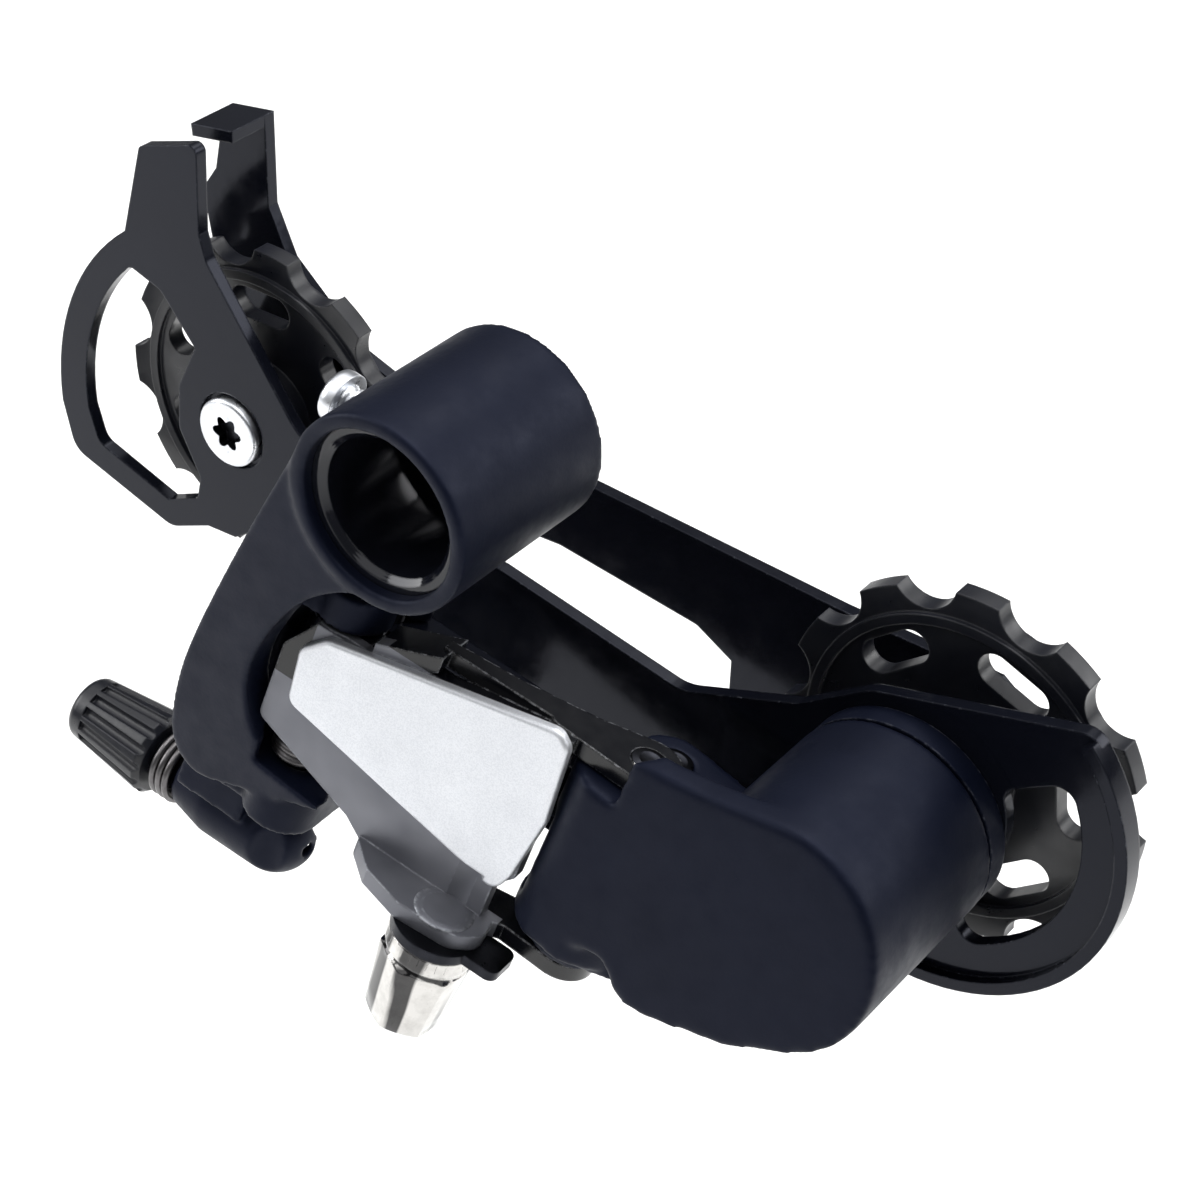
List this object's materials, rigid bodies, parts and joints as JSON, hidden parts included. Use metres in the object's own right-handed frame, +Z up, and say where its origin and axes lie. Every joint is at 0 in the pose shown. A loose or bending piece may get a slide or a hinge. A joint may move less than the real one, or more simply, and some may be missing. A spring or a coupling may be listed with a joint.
{
  "type": "rear bicycle derailleur",
  "caption": "Rear bicycle derailleur: hanger bracket, slanted parallelogram with cable clamp and adjuster, sprung knuckle and a long cage with toothed pulleys.",
  "frame": {"origin": "hanger bolt axis, at the bracket barrel's end face that meets the frame's hanger", "axes": "+X forward on the bicycle, +Y inward to the wheel along the hanger bolt, +Z up"},
  "size_m": [0.1474, 0.052, 0.0773],
  "materials": {
    "cast_black": "satin blue-black paint on cast metal",
    "plate_black": "gloss black paint on pressed steel",
    "link_silver": "satin silver paint on pressed steel",
    "link_black": "gloss black paint on pressed steel",
    "chrome_steel": "bright chrome plating",
    "zinc_steel": "bright zinc plating",
    "black_plastic": "moulded black plastic",
    "sleeve_black": "gloss black sleeve",
    "spring_steel": "drawn spring wire",
    "black_steel": "blackened steel"
  },
  "bodies": {
    "bracket": {"bracket_body": "cast_black", "hanger_bushing": "sleeve_black", "bracket_outer_pin": "chrome_steel", "bracket_inner_pin": "chrome_steel", "link_spring": "spring_steel", "adjuster_spring": "spring_steel"},
    "adjuster": {"adjuster_barrel": "black_plastic", "adjuster_stem": "zinc_steel"},
    "b_screw": {"b_tension_screw": "zinc_steel"},
    "high_screw": {"high_limit_screw": "zinc_steel"},
    "low_screw": {"low_limit_screw": "zinc_steel"},
    "outer_link": {"outer_link": "link_silver", "cable_clamp_bolt": "chrome_steel", "cable_clamp_washer": "chrome_steel", "knuckle_outer_pin": "chrome_steel"},
    "inner_link": {"inner_link": "link_black"},
    "knuckle": {"pulley_knuckle": "cast_black", "knuckle_inner_pin": "chrome_steel", "cage_spring": "spring_steel"},
    "cage": {"cage_axle": "zinc_steel", "spring_cover_ring": "cast_black", "cage_outer_plate": "plate_black", "cage_inner_plate": "plate_black", "cage_stop_pin": "black_steel", "guide_bush": "zinc_steel", "tension_bush": "zinc_steel", "guide_dust_caps": "black_steel", "tension_dust_caps": "black_steel", "guide_pulley_bolt": "zinc_steel", "tension_pulley_bolt": "zinc_steel"},
    "guide_wheel": {"guide_pulley": "black_plastic"},
    "tension_wheel": {"tension_pulley": "black_plastic"}
  },
  "joints": [
    {"name": "link_swing", "type": "hinge", "parent": "bracket", "child": "outer_link", "pos_m": [-0.01427, -0.0155, -0.02933], "axis": [0.2813, 0.1749, 0.9436], "range_deg": [0, 48], "stiffness_Nm_per_rad": 0.35, "springref_deg": -28.65},
    {"name": "inner_link_swing", "type": "hinge", "parent": "bracket", "child": "inner_link", "pos_m": [-0.01629, -0.00556, -0.03269], "axis": [0.2813, 0.1749, 0.9436], "range_deg": [0, 48]},
    {"name": "knuckle_level", "type": "hinge", "parent": "outer_link", "child": "knuckle", "pos_m": [0.0201, -0.01219, -0.04019], "axis": [0.2813, 0.1749, 0.9436], "range_deg": [-48, 0]},
    {"name": "cage_pivot", "type": "hinge", "parent": "knuckle", "child": "cage", "pos_m": [0.0439, 0, -0.0351], "axis": [0, -1, 0], "range_deg": [0, 130], "stiffness_Nm_per_rad": 0.2, "springref_deg": -68.75},
    {"name": "guide_spin", "type": "hinge", "parent": "cage", "child": "guide_wheel", "pos_m": [0.0465, 0.0149, -0.0321], "axis": [0, -1, 0], "continuous": true},
    {"name": "tension_spin", "type": "hinge", "parent": "cage", "child": "tension_wheel", "pos_m": [-0.0488, 0.0149, -0.0217], "axis": [0, -1, 0], "continuous": true},
    {"name": "adjuster_turn", "type": "hinge", "parent": "bracket", "child": "adjuster", "pos_m": [-0.0424, -0.014, -0.0534], "axis": [-0.9848, 0, 0.1736], "range_deg": [-360, 360]},
    {"name": "b_screw_turn", "type": "hinge", "parent": "bracket", "child": "b_screw", "pos_m": [-0.0279, 0.0026, -0.0069], "axis": [0.9703, 0, -0.2419], "range_deg": [-360, 360]},
    {"name": "high_screw_turn", "type": "hinge", "parent": "bracket", "child": "high_screw", "pos_m": [-0.03147, -0.01079, -0.02932], "axis": [0.9495, 0.0914, -0.3], "range_deg": [-360, 360]},
    {"name": "low_screw_turn", "type": "hinge", "parent": "bracket", "child": "low_screw", "pos_m": [-0.03211, -0.00628, -0.02996], "axis": [0.9495, 0.0914, -0.3], "range_deg": [-360, 360]}
  ],
  "couplings": [
    {"joint": "inner_link_swing", "follows": "link_swing", "ratio": 1},
    {"joint": "knuckle_level", "follows": "link_swing", "ratio": -1}
  ]
}
